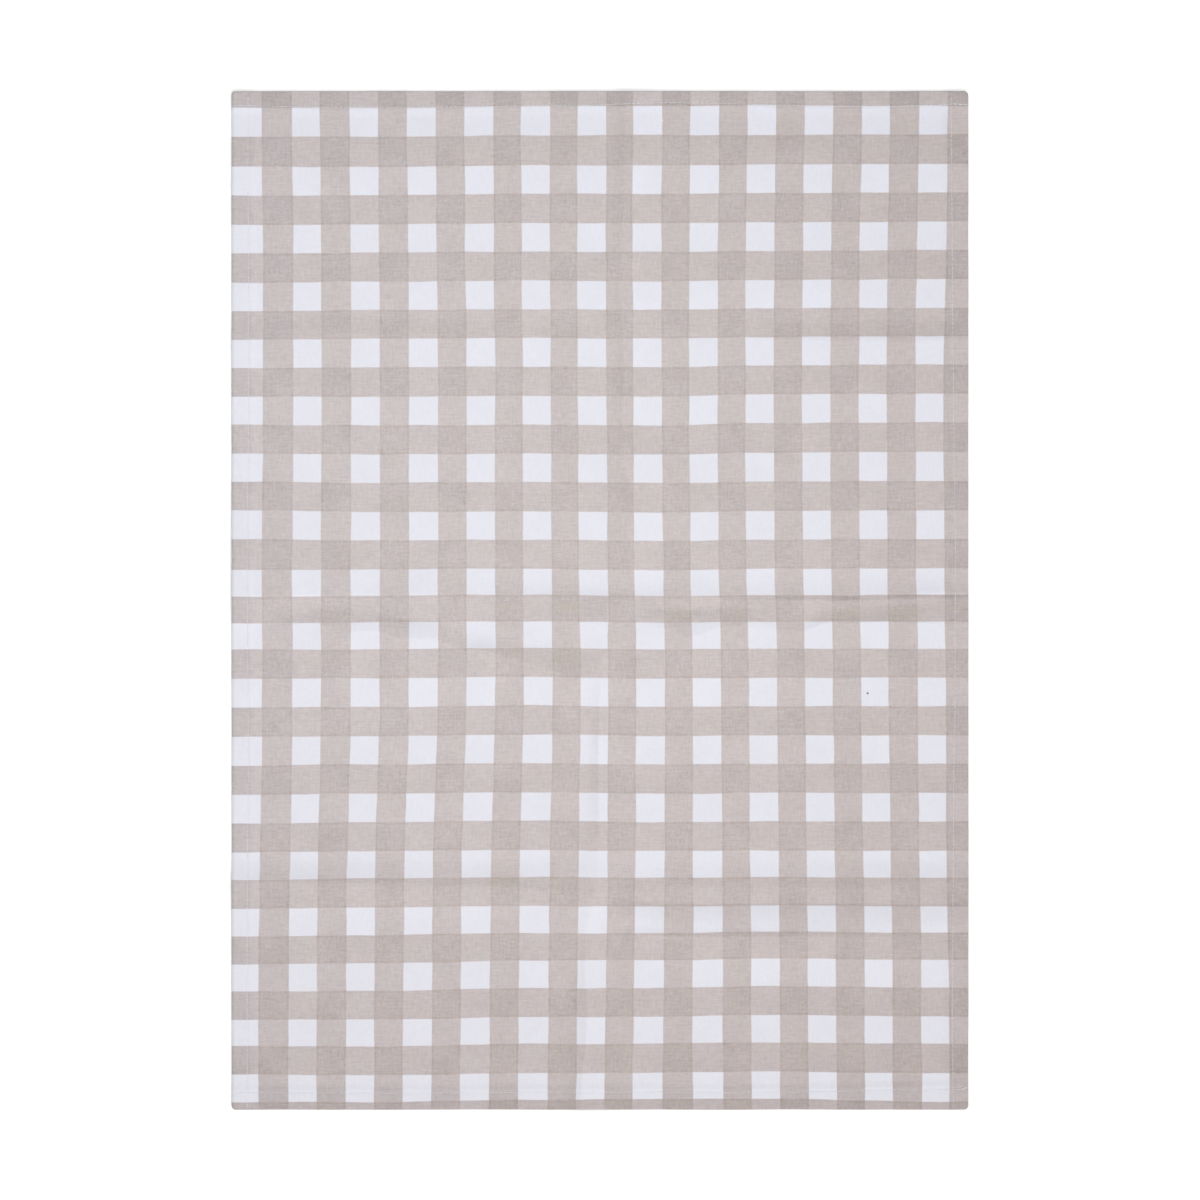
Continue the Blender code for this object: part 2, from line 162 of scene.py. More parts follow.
# The lines that the mesh's own lines follow: whose crests they are, or the feet of whose
# upper flanks, their mean place, the offsets of the mesh's other lines on both sides of
# them, and how far off the mesh runs straight again.
FOLLOWED = [
    {"creases": ["middle_fold"], "line": "crest", "mean": 3.2, "band": 12.0,
     "above": (0.45, 0.95, 1.5, 2.2, 3.0, 4.0, 5.4, 7.2, 9.6),
     "below": (0.45, 0.95, 1.5, 2.2, 3.0, 4.0, 5.2, 6.6, 8.2)},
    {"creases": ["upper_fold"], "line": "crest", "mean": 177.0, "band": 20.0,
     "above": (0.8, 1.7, 2.8, 4.2, 6.0, 8.0, 10.0, 12.0, 14.0, 16.0), "below": (0.8, 1.7, 2.8, 4.2, 6.4)},
    {"creases": ["lower_fold"], "line": "crest", "mean": -194.5, "band": 14.0,
     "above": (0.8, 1.6, 2.6, 3.8, 5.4, 7.2, 9.2, 11.4, 13.6, 16.0), "below": (0.8, 1.7, 2.8, 4.4, 6.4, 8.6)},
    {"creases": ["slack_wrinkle", "right_wrinkle"], "line": "crest", "mean": -32.0, "band": 24.0,
     "above": (0.4, 0.85, 1.4, 2.2, 3.3, 4.6, 6.0, 7.6, 9.2, 10.8, 12.4, 14.0, 15.8, 17.8, 20.6, 23.8),
     "below": (0.4, 0.85, 1.4, 2.2, 3.3, 4.8, 6.8, 9.2, 12.0)},
    {"creases": ["lower_right_wrinkle"], "line": "foot", "mean": -206.6, "band": 9.0,
     "above": (0.6, 1.3, 2.2), "below": (0.6, 1.3, 2.2, 3.4, 4.8, 6.4, 8.2, 10.2, 12.4, 14.8, 17.0)},
    {"creases": ["lowest_right_wrinkle"], "line": "crest", "mean": -227.8, "band": 8.0,
     "above": (0.45, 0.95, 1.7, 2.6), "below": (0.45, 0.95, 1.7, 2.8, 4.4)},
    {"creases": ["upper_lengthwise_fold"], "line": "crest", "mean": 16.0, "band": 12.0,
     "above": (0.45, 0.95, 1.5, 2.2, 3.0, 4.0, 5.2, 6.8, 8.8), "below": (0.45, 0.95, 1.5, 2.2, 3.0, 4.0, 5.2, 6.8, 8.8)},
    {"creases": ["lower_lengthwise_fold"], "line": "crest", "mean": -5.0, "band": 20.0,
     "above": (0.45, 0.95, 1.5, 2.2, 3.0, 4.0, 5.2, 6.8, 8.8), "below": (0.45, 0.95, 1.5, 2.2, 3.0, 4.0, 5.2, 6.8, 8.8)},
]

# --- The print ---------------------------------------------------------------
CHECK_ACROSS = {"pitch": 38.58, "first": 0.15, "width": 18.9, "widening": 1.2}
CHECK_ALONG = {"pitch": 39.05, "first": 36.75, "width": 19.8, "widening": 0.0}

# Cloth that the creases take up: where, how much of it, and over what run. By the top
# hem the cloth is drawn out instead.
TAKEN_UP_ALONG = [
    (312.0, -0.8, 25.0), (185.0, 0.4, 12.0), (2.5, 3.2, 13.0), (-27.0, 1.1, 12.0),
    (-183.0, 1.1, 9.0), (-224.0, 2.6, 22.0), (-255.0, 0.4, 14.0), (-292.0, 1.2, 15.0),
    (-333.0, 1.8, 6.0),
]
TAKEN_UP_ACROSS = (0.7, 9.0)  # at the lengthwise folds: how much, and over what run

# The print isn't square to the hems. How far it has slid to the right, and down, at
# some heights (first column), from the left hem to the right one.
SLID_RIGHT_AT = (-247.0, -234.0, -100.0, 20.0, 100.0, 205.0, 236.0)
SLID_RIGHT = [
    (325, -3.0, 0.0, 0.0, -1.0, -0.5, 1.0, 2.5),
    (245, -2.0, 1.0, 0.5, -1.5, -1.5, -0.5, 1.5),
    (150, -2.0, 1.0, 1.5, -1.0, -2.0, -1.5, -0.5),
    (50, -3.0, 0.5, 1.5, -0.5, -1.5, -1.0, 0.0),
    (-60, -2.5, 0.5, 1.5, 1.0, 0.5, 0.0, 1.0),
    (-180, -4.0, -1.0, -2.0, 0.5, 1.5, 1.5, 1.5),
    (-255, -5.0, -2.0, -2.5, -0.5, 2.0, 2.5, 3.0),
    (-330, -5.0, -2.0, -3.0, -1.5, 2.5, 3.0, 3.5),
]
SLID_DOWN_AT = (-240.0, -150.0, -45.0, 40.0, 110.0, 225.0)
SLID_DOWN = [
    (336, 0.0, 0.0, -1.0, -1.0, -1.5, -1.0),
    (300, 0.5, 0.5, -0.5, -0.5, -1.0, -1.5),
    (190, 1.0, 0.0, -0.5, 0.0, -1.0, -1.5),
    (130, 0.5, 0.5, 0.0, 0.5, -1.0, -1.5),
    (50, -0.5, 0.5, 0.0, 1.0, 0.0, -0.5),
    (-6, 1.5, 0.4, -0.3, 0.7, 0.0, -0.2),
    (-30, 0.5, 0.5, -0.5, 0.5, 0.0, 0.0),
    (-160, 1.5, 0.5, -0.5, 0.5, 0.0, 0.0),
    (-200, 1.5, 0.5, -0.5, 0.0, -0.5, 0.0),
    (-235, 3.0, 2.0, 0.0, 0.0, -1.5, -0.5),
    (-320, 1.0, 1.5, 0.0, -0.5, -1.0, 0.0),
    (-341, 2.2, 2.0, 0.7, 0.0, 0.0, 2.0),
]

# Linear colours. The ink multiplies the cotton's own colour, and where two stripes cross
# the second one adds a little more.
COTTON = (0.687, 0.685, 0.745)
INK = (0.756, 0.686, 0.621)
SECOND_INK = (0.909, 0.898, 0.900)

# Specks of lint on the face: x, y, how far across and linear colour.
LINT = [(181.4, -62.9, 0.95, (0.10, 0.10, 0.13)), (42.0, 325.6, 0.8, (0.78, 0.79, 0.68))]

# Even runs of the mesh's lines between those: from, to and spacing.
RUNS_ALONG = [(-324.0, -235.0, 4.2), (-175.5, -47.5, 4.2), (16.5, 167.0, 4.3), (196.5, 326.0, 4.3)]
RUNS_ACROSS = [(-229.0, -17.5, 5.0), (28.5, 229.0, 5.0)]


# --- Curves and unevenness ---------------------------------------------------
def along_path(at, table):
    """Smooth curve through (at, value) rows, with no overshoot between two rows."""
    at_rows = np.array([row[0] for row in table], float)
    values = np.array([row[1] for row in table], float)
    if at_rows[0] > at_rows[-1]:
        at_rows, values = at_rows[::-1], values[::-1]
    steps = np.diff(values) / np.diff(at_rows)
    slopes = np.zeros(len(values))
    for k in range(1, len(values) - 1):
        if steps[k - 1] * steps[k] > 0:
            slopes[k] = 2 * steps[k - 1] * steps[k] / (steps[k - 1] + steps[k])
    slopes[0], slopes[-1] = steps[0], steps[-1]
    here = np.clip(at, at_rows[0], at_rows[-1])
    k = np.clip(np.searchsorted(at_rows, here) - 1, 0, len(steps) - 1)
    width = at_rows[k + 1] - at_rows[k]
    t = (here - at_rows[k]) / width
    return (
        values[k] * (1 + 2 * t) * (1 - t) ** 2
        + slopes[k] * width * t * (1 - t) ** 2
        + values[k + 1] * t * t * (3 - 2 * t)
        - slopes[k + 1] * width * t * t * (1 - t)
    )


def smooth(x, start, end):
    """0 before start and 1 after end, with a soft change between them."""
    t = np.clip((np.asarray(x, float) - start) / (end - start), 0, 1)
    return t * t * (3 - 2 * t)


def ripple(x, y, cell_x, cell_y, seed):
    """Smooth seeded unevenness, about -1 to 1, with bumps about as large as the cells."""
    lattice = np.random.RandomState(seed).uniform(-2, 2, (int(900 / cell_y) + 6, int(700 / cell_x) + 6))
    column, row = (np.asarray(x) + 350) / cell_x + 1, (np.asarray(y) + 450) / cell_y + 1
    i, j = np.floor(column).astype(int), np.floor(row).astype(int)
    s, t = column - i, row - j

    def weights(p):
        return ((1 - p) ** 3 / 6, (3 * p**3 - 6 * p**2 + 4) / 6,
                (-3 * p**3 + 3 * p**2 + 3 * p + 1) / 6, p**3 / 6)

    total = 0.0
    for b, weight_y in enumerate(weights(t)):
        for a, weight_x in enumerate(weights(s)):
            total = total + lattice[j + b - 1, i + a - 1] * weight_x * weight_y
    return total


# --- The cloth's shape -------------------------------------------------------
def ridge(x, y, crease):
    """How high one crease lifts the cloth at x, y."""
    along, across = (x, y) if crease["runs"] == "X" else (y, x)
    rows = crease["stations"]
    path, height, before, after, full = (
        along_path(along, [(row[0], row[k]) for row in rows]) for k in (1, 2, 3, 4, 5))
    ends = sorted((rows[0][0], rows[-1][0]))
    height = np.where((along < ends[0] - 1) | (along > ends[1] + 1), 0.0, height)
    offset = path - across if crease["runs"] == "X" else across - path
    from_crest = np.hypot(offset, crease["radius"]) - crease["radius"]
    up = np.clip(1 - from_crest / before, 0, 1)
    down = np.clip(1 - from_crest / after, 0, 1)
    first = (1 - full) * up**2 + full * up * (2 - up)
    second = (1 - full) * down**2 + full * down**2 * (3 - 2 * down)
    return height * np.where(offset < 0, first, second)


def lift(x, y):
    """Height of the creased cloth's underside over the floor."""
    y = y - NEARER_TOP
    height = sum(ridge(x, y, crease) for crease in CREASES)
    to_right = smooth(x, -80, 60)
    for runs, where, left_rise, right_rise, before, after in SWELLINGS:
        off = where - y if runs == "X" else x - where
        off = np.abs(off) / np.where(off < 0, before, after)
        rise = left_rise + (right_rise - left_rise) * to_right
        height = height + rise * np.cos(np.clip(off, 0, 1) * math.pi / 2) ** 2
    return height


def hem_places(x, y):
    """For each hem: its name, the distance from its edge, and how far its seam is from that edge."""
    return [
        ("left", x + HALF_X, along_path(y, SEAMS["left"])),
        ("right", HALF_X - x, along_path(y, SEAMS["right"])),
        ("bottom", y + HALF_Y, along_path(x, SEAMS["bottom"])),
        ("top", HALF_Y - y, along_path(x, SEAMS["top"])),
    ]


def edge_distance(x, y):
    """How far x, y is inside the rounded outline."""
    in_x, in_y = HALF_X - np.abs(x), HALF_Y - np.abs(y)
    a, b = CORNER_RADIUS - in_x, CORNER_RADIUS - in_y
    in_corner = (a > 0) & (b > 0)
    round_one = CORNER_RADIUS - np.hypot(np.maximum(a, 0), np.maximum(b, 0))
    return np.maximum(np.where(in_corner, round_one, np.minimum(in_x, in_y)), 0)


def surfaces(x, y):
    """The cloth at x, y: heights of its underside and face, and how much of a hem it is."""
    up, flap = {}, {}
    groove = 0.0
    for name, inside, seam in hem_places(x, y):
        axis = "across" if name in ("left", "right") else "along"
        lip = seam + HEM_LIP
        up[axis] = np.maximum(up.get(axis, 0.0), 1 - smooth(inside, lip, lip + HEM_FALL))
        flap[axis] = np.maximum(flap.get(axis, 0.0), 1 - smooth(inside, lip - 0.15, lip + 0.15))
        groove = np.maximum(groove, np.exp(-(((inside - seam) / GROOVE_RUN) ** 2)))
    hem = up["across"] + up["along"] - up["across"] * up["along"]
    extra = TURNED_UNDER * hem + CORNER_EXTRA * up["across"] * up["along"]

    slack = 0.20 * (0.5 + 0.5 * ripple(x, y, 46, 46, 11)) + 0.06 * (0.5 + 0.5 * ripple(x, y, 17, 17, 12))
    base = lift(x, y) + np.clip(slack, 0, None) * (1 - 0.75 * hem)
    raised = np.maximum(
        up["across"] * (1 - flap["across"]) * (1 - flap["along"]),
        up["along"] * (1 - flap["along"]) * (1 - flap["across"]),
    )
    pucker = hem * (0.07 * ripple(x, y, 7, 7, 13) + 0.05 * ripple(x, y, 15, 15, 14))
    under = base + TURNED_UNDER * raised + 0.5 * GROOVE_DEPTH * groove
    face = base + CLOTH + extra + pucker - GROOVE_DEPTH * groove

    # The outer edge is a pressed fold, so its section is a flattened round.
    middle, radius = (under + face) / 2, (face - under) / 2
    inside = np.clip(edge_distance(x, y) / (0.6 * radius), 0, 1)
    half = np.maximum(radius * np.sqrt(1 - (1 - inside) ** 2), 0.05)
    return middle - half, middle + half, hem, groove


def in_places(x, y, places):
    """How much of something there is at x, y, from a table of the places that have it."""
    total, y = 0 * x, y - NEARER_TOP
    for left, right, top, bottom, amount in places:
        within = smooth(x, left - 2.5, left + 2.5) * (1 - smooth(x, right - 2.5, right + 2.5))
        within = within * smooth(y, bottom - 1.5, bottom + 1.5) * (1 - smooth(y, top - 1.5, top + 1.5))
        total = total + amount * within
    return total


def painted_fold_shade(x, y):
    """How much painted shade darkens the ink at x, y along the middle fold."""
    below = along_path(x, [row[:2] for row in FOLD_SHADE_LINE]) + NEARER_TOP - y
    amount = along_path(x, [(row[0], row[2]) for row in FOLD_SHADE_LINE])
    first, full, last, gone = FOLD_SHADE_FROM_TO
    return amount * smooth(below, first, full) * (1 - smooth(below, last, gone)) + in_places(x, y, FOLD_SHADE_PATCHES)


def waver(x, y):
    """How far each point near the outline moves across and along: it is slightly uneven, and
    drawn in where a crease lifts it."""
    near_side = 1 - smooth(HALF_X - np.abs(x), 0, 22)
    near_end = 1 - smooth(HALF_Y - np.abs(y), 0, 22)
    across = 0.12 * ripple(np.sign(x) * 60, y, 30, 26, 21) * near_side
    along = 0.12 * ripple(x, np.sign(y) * 60, 26, 30, 22) * near_end
    drawn_in = lift(x, y) / 2000
    return across - x * drawn_in * near_side, along - y * drawn_in * near_end


def round_corners(x, y):
    """Draws the grid's square corners in to their rounding."""
    a = (np.abs(x) - (HALF_X - CORNER_RADIUS)) / CORNER_RADIUS
    b = (np.abs(y) - (HALF_Y - CORNER_RADIUS)) / CORNER_RADIUS
    in_corner = (a > 0) & (b > 0)
    a, b = np.clip(a, 0, 1), np.clip(b, 0, 1)
    x_in = np.sign(x) * (HALF_X - CORNER_RADIUS + CORNER_RADIUS * a * np.sqrt(1 - b * b / 2))
    y_in = np.sign(y) * (HALF_Y - CORNER_RADIUS + CORNER_RADIUS * b * np.sqrt(1 - a * a / 2))
    return np.where(in_corner, x_in, x), np.where(in_corner, y_in, y)


def slid(x, y, places, table):
    """A drift of the print at x, y, from a table of heights and places across."""
    columns = [along_path(y, [(row[0], row[k + 1]) for row in table]) for k in range(len(places))]
    total = columns[0].copy()
    for k in range(1, len(places)):
        total += (columns[k] - columns[k - 1]) * smooth(x, places[k - 1], places[k])
    return total


def on_the_cloth(x, y):
    """Where x, y lies on the printed cloth once that is smoothed out."""
    y = y - NEARER_TOP
    amount, run = TAKEN_UP_ACROSS
    fold = np.where(y > -20, 14.5, -6.0)
    u = x - 14.3 + 4.56e-5 * (x - 14.3) ** 2
    u = u + amount * (smooth(x, fold - run, fold + run) - 0.5)
    u = u - slid(x, y, SLID_RIGHT_AT, SLID_RIGHT)
    v = y + slid(x, y, SLID_DOWN_AT, SLID_DOWN)
    for where, amount, run in TAKEN_UP_ALONG:
        v = v + amount * (smooth(y, where - run, where + run) - 0.5)
    return u, v


# --- The sheet's mesh --------------------------------------------------------
def hem_lines(seam):
    """Distances from an edge at which the mesh has a line, one row for each seam distance."""
    seam = np.asarray(seam, float)[:, None]
    outer = np.array([0, 0.12, 0.35, 0.75, 1.4, 2.2, 3.0])[None, :] + 0 * seam
    between = 3.0 + (seam - 4.3) * np.array([1 / 3, 2 / 3])[None, :]
    inner = seam + np.array([-1.3, -0.6, 0, 0.6, 1.3, 1.65, 2.4, 3.5, 4.9, 6.4])[None, :]
    return np.hstack([outer, between, inner])


def inner_lines(runs_along, runs):
    """The mesh's lines between two hems: a fan of them about each crest, and even runs between."""
    lines = []
    for follow in FOLLOWED:
        if crease_named(follow["creases"][0])["runs"] == runs_along:
            lines += [follow["mean"]] + [follow["mean"] + step for step in follow["above"]]
            lines += [follow["mean"] - step for step in follow["below"]]
    for start, end, spacing in runs:
        lines += list(np.linspace(start, end, max(2, round((end - start) / spacing) + 1)))
    return np.array(sorted(lines))


def crease_named(name):
    return next(crease for crease in CREASES if crease["name"] == name)


def follow_creases(x, y):
    """Bends the grid's lines so that they run along the creases."""
    moved_x, moved_y = x.copy(), y.copy()
    for follow in FOLLOWED:
        creases = [crease_named(name) for name in follow["creases"]]
        foot = 1.0 if follow["line"] == "foot" else 0.0
        rows = sorted((row[0], row[1] + foot * row[3]) for crease in creases for row in crease["stations"] if row[2] > 0)
        runs_x = creases[0]["runs"] == "X"
        along, across = (x, y - NEARER_TOP) if runs_x else (y - NEARER_TOP, x)
        path = along_path(along, rows)
        near = 1 - np.clip((np.abs(across - follow["mean"]) - 3.0) / follow["band"], 0, 1)
        near = near * smooth(along, rows[0][0] - 30, rows[0][0]) * (1 - smooth(along, rows[-1][0], rows[-1][0] + 30))
        if runs_x:
            moved_y += (path - follow["mean"]) * near
        else:
            moved_x += (path - follow["mean"]) * near
    return moved_x, moved_y


def make_cloth():
    along, across = inner_lines("X", RUNS_ALONG) + NEARER_TOP, inner_lines("Y", RUNS_ACROSS)

    # Rows of the grid first, with the end hems' lines taken at mid-width, then each
    # line bent to its own seam.
    def ends_at(name, half, other):
        return half - hem_lines(along_path(other, SEAMS[name]))

    rows_mid = np.concatenate([
        -ends_at("bottom", HALF_Y, np.zeros(1))[0], along, ends_at("top", HALF_Y, np.zeros(1))[0][::-1]])
    columns_mid = np.concatenate([
        -ends_at("left", HALF_X, np.zeros(1))[0], across, ends_at("right", HALF_X, np.zeros(1))[0][::-1]])
    count_x, count_y = len(columns_mid), len(rows_mid)
    x = np.hstack([
        -ends_at("left", HALF_X, rows_mid),
        np.repeat(across[None, :], count_y, 0),
        ends_at("right", HALF_X, rows_mid)[:, ::-1],
    ])
    y = np.hstack([
        -ends_at("bottom", HALF_Y, columns_mid),
        np.repeat(along[None, :], count_x, 0),
        ends_at("top", HALF_Y, columns_mid)[:, ::-1],
    ]).T
    x, y = follow_creases(x, y)
    x, y = round_corners(x, y)

    under, face, hem, groove = surfaces(x, y)
    move_x, move_y = waver(x, y)
    u, v = on_the_cloth(x, y)

    # Under a hem the printed side shows again, carried on round the edge. Elsewhere
    # the underside is the cloth's back.
    back_u, back_v, back = u.copy(), v.copy(), np.ones_like(u)
    places = {name: (inside, seam) for name, inside, seam in hem_places(x, y)}
    for name, sign in (("left", -1), ("right", 1)):
        inside, seam = places[name]
        turned = inside < seam + HEM_LIP
        edge_u = on_the_cloth(np.full_like(x, sign * HALF_X), y)[0]
        back_u = np.where(turned, edge_u + sign * inside, back_u)
        back = np.where(turned, 0.0, back)
    for name, sign in (("bottom", -1), ("top", 1)):
        inside, seam = places[name]
        turned = inside < seam + HEM_LIP
        edge_v = on_the_cloth(x, np.full_like(y, sign * HALF_Y))[1]
        back_u = np.where(turned, u, back_u)
        back_v = np.where(turned, edge_v + sign * inside, back_v)
        back = np.where(turned, 0.0, back)

    # Face, then underside, then the narrow band that joins them round the edge.
    def as_points(height):
        return np.stack([x + move_x, y + move_y, height], -1).reshape(-1, 3)

    points = np.vstack([as_points(face), as_points(under)]) / 1000
    number = np.arange(count_x * count_y).reshape(count_y, count_x)
    quads = np.stack([number[:-1, :-1], number[:-1, 1:], number[1:, 1:], number[1:, :-1]], -1).reshape(-1, 4)
    ring = np.concatenate([
        number[0, :-1], number[:-1, -1], number[-1, :0:-1], number[:0:-1, 0]])
    after = np.roll(ring, -1)
    below = count_x * count_y
    rim = np.stack([after, ring, ring + below, after + below], -1)
    faces = np.vstack([quads, quads[:, ::-1] + below, rim])

    mesh = bpy.data.meshes.new("towel_cloth")
    mesh.from_pydata(points.tolist(), [], faces.tolist())
    mesh.update()
    mesh.polygons.foreach_set("use_smooth", np.ones(len(faces), bool))

    cloth = mesh.attributes.new("cloth", "FLOAT_VECTOR", "POINT")
    values = np.vstack([
        np.stack([u, v, 0 * u], -1).reshape(-1, 3), np.stack([back_u, back_v, back], -1).reshape(-1, 3)])
    cloth.data.foreach_set("vector", values.astype(np.float32).reshape(-1))
    # Painted shade along the left hem's folded edge, darkest just inside it.
    left_edge_shade = np.exp(-(((x + HALF_X - 0.9) / 0.75) ** 2))
    for name, field in (("hem", hem), ("seam", groove), ("painted_fold_shade", painted_fold_shade(x, y)),
                        ("shade_yellowed", in_places(x, y, SHADE_YELLOWED)), ("left_edge_shade", left_edge_shade)):
        attribute = mesh.attributes.new(name, "FLOAT", "POINT")
        attribute.data.foreach_set("value", np.tile(field.reshape(-1), 2).astype(np.float32))

    # The face fills most of the map, and the underside lies beside it.
    layer = mesh.uv_layers.new(name="OFBake")
    s, t = (x / HALF_X / 2 + 0.5).reshape(-1), (y / HALF_Y / 2 + 0.5).reshape(-1)
    face_map = np.stack([0.006 + 0.738 * s, 0.006 + 0.988 * t], -1)
    back_map = np.stack([0.758 + 0.236 * s, 0.006 + 0.988 * t], -1)
    outward = np.stack([
        0.0025 * ((s > 0.9999) * 1.0 - (s < 0.0001)), 0.0025 * ((t > 0.9999) * 1.0 - (t < 0.0001))], -1)
    corners = np.vstack([
        face_map[quads.reshape(-1)],
        back_map[quads[:, ::-1].reshape(-1)],
        np.stack([face_map[after], face_map[ring], face_map[ring] + outward[ring],
                  face_map[after] + outward[after]], 1).reshape(-1, 2),
    ])
    layer.data.foreach_set("uv", corners.astype(np.float32).reshape(-1))

    piece = bpy.data.objects.new("towel_cloth", mesh)
    bpy.context.scene.collection.objects.link(piece)
    return piece


# --- Stitching ---------------------------------------------------------------
THREAD_RINGS = ((0.0, 0.25), (0.10, 0.8), (0.3, 1.0), (0.5, 1.0), (0.7, 1.0), (0.9, 0.8), (1.0, 0.25))
THREAD_SIDES = 6
STITCH_PITCH, STITCH_LENGTH, THREAD_RADIUS = 3.1, 3.06, 0.16


def seam_stitches(name, seed):
    """Start and end of each stitch of one seam, and how deep it has sunk into the cloth, 0 to 1."""
    half = HALF_Y if name in ("left", "right") else HALF_X
    count = int((2 * half - 3) / STITCH_PITCH)
    random = np.random.RandomState(seed)
    start = -half + 1.5 + STITCH_PITCH * np.arange(count) + random.uniform(-0.12, 0.12, count)
    ends = []
    for at in (start, start + STITCH_LENGTH + random.uniform(-0.1, 0.1, count)):
        inside = along_path(at, SEAMS[name]) + 0.25 * ripple(at, 0 * at + seed, 31, 31, seed)
        inside = inside + random.uniform(-0.09, 0.09, count)
        if name == "left":
            ends.append(np.stack([-HALF_X + inside, at], -1))
        elif name == "right":
            ends.append(np.stack([HALF_X - inside, at], -1))
        elif name == "bottom":
            ends.append(np.stack([at, -HALF_Y + inside], -1))
        else:
            ends.append(np.stack([at, HALF_Y - inside], -1))
    sunk = np.clip(0.25 + 0.75 * ripple(start, 0 * start, 9, 30, seed + 50), 0, 1)
    return ends[0], ends[1], sunk


def tack(points, passes, seed):
    """Stitches sewn back and forth along a short path."""
    random = np.random.RandomState(seed)
    starts, ends = [], []
    for _ in range(passes):
        shift = random.uniform(-0.3, 0.3, 2)
        for a, b in zip(points[:-1], points[1:]):
            a, b = np.array(a) + shift, np.array(b) + shift
            count = max(1, int(np.hypot(*(b - a)) / 2.6))
            for k in range(count):
                starts.append(a + (b - a) * (k + 0.04) / count)
                ends.append(a + (b - a) * (k + 0.96) / count)
    return np.array(starts), np.array(ends), np.zeros(len(starts))


def thread_mesh(starts, ends, sunk, on_face, lift_by=0.0):
    """Points and faces of one short bowed thread for each stitch."""
    t = np.array([row[0] for row in THREAD_RINGS])
    wide = np.array([row[1] for row in THREAD_RINGS])
    run = ends - starts
    side = np.stack([-run[:, 1], run[:, 0]], -1) / np.hypot(run[:, 0], run[:, 1])[:, None]
    centre = starts[:, None, :] + run[:, None, :] * t[None, :, None]
    under, face, _, _ = surfaces(centre[..., 0], centre[..., 1])
    radius = THREAD_RADIUS * wide[None, :] * (1 - 0.35 * sunk[:, None])
    dive = 0.17 * np.abs(2 * t - 1)[None, :] ** 5 + 0.11 * sunk[:, None]
    if on_face:
        height = face + 0.10 - dive + lift_by
    else:
        height = np.maximum(under - 0.10 + dive, 0.7 * radius + 0.01)
    angle = 2 * math.pi * np.arange(THREAD_SIDES) / THREAD_SIDES
    lateral = radius[:, :, None] * np.cos(angle)
    points = np.empty((len(starts), len(t), THREAD_SIDES, 3))
    points[..., 0] = centre[:, :, None, 0] + side[:, None, None, 0] * lateral
    points[..., 1] = centre[:, :, None, 1] + side[:, None, None, 1] * lateral
    points[..., 2] = height[:, :, None] + 0.75 * radius[:, :, None] * np.sin(angle)

    per_stitch = len(t) * THREAD_SIDES
    quads = []
    for ring in range(len(t) - 1):
        for k in range(THREAD_SIDES):
            near, far = ring * THREAD_SIDES, (ring + 1) * THREAD_SIDES
            quads.append((near + k, far + k, far + (k + 1) % THREAD_SIDES, near + (k + 1) % THREAD_SIDES))
    caps = [tuple(range(THREAD_SIDES)), tuple(range(per_stitch - 1, per_stitch - 1 - THREAD_SIDES, -1))]
    faces = []
    for stitch in range(len(starts)):
        first = stitch * per_stitch
        faces += [tuple(first + k for k in face) for face in quads + caps]
    return points.reshape(-1, 3), faces


def make_stitching():
    parts = []
    for number, name in enumerate(("left", "right", "bottom", "top")):
        for on_face in (True, False):
            starts, ends, sunk = seam_stitches(name, 31 + 2 * number + on_face)
            parts.append(thread_mesh(starts, ends, sunk, on_face))
    tacks = [
        ([(239.0, 336.7), (249.0, 336.1)], 3, 61),
        ([(238.5, -331.3), (244.5, -331.4), (249.2, -329.7)], 3, 62),
        ([(-249.0, 335.7), (-240.0, 335.1)], 1, 63),
    ]
    for points, passes, seed in tacks:
        starts, ends, sunk = tack(points, passes, seed)
        parts.append(thread_mesh(starts, ends, sunk, True, lift_by=0.12))

    points, faces, first = [], [], 0
    for part_points, part_faces in parts:
        points.append(part_points)
        faces += [tuple(first + k for k in face) for face in part_faces]
        first += len(part_points)
    mesh = bpy.data.meshes.new("hem_stitching")
    mesh.from_pydata((np.vstack(points) / 1000).tolist(), [], faces)
    mesh.update()
    mesh.polygons.foreach_set("use_smooth", np.ones(len(faces), bool))
    piece = bpy.data.objects.new("hem_stitching", mesh)
    bpy.context.scene.collection.objects.link(piece)
    return piece


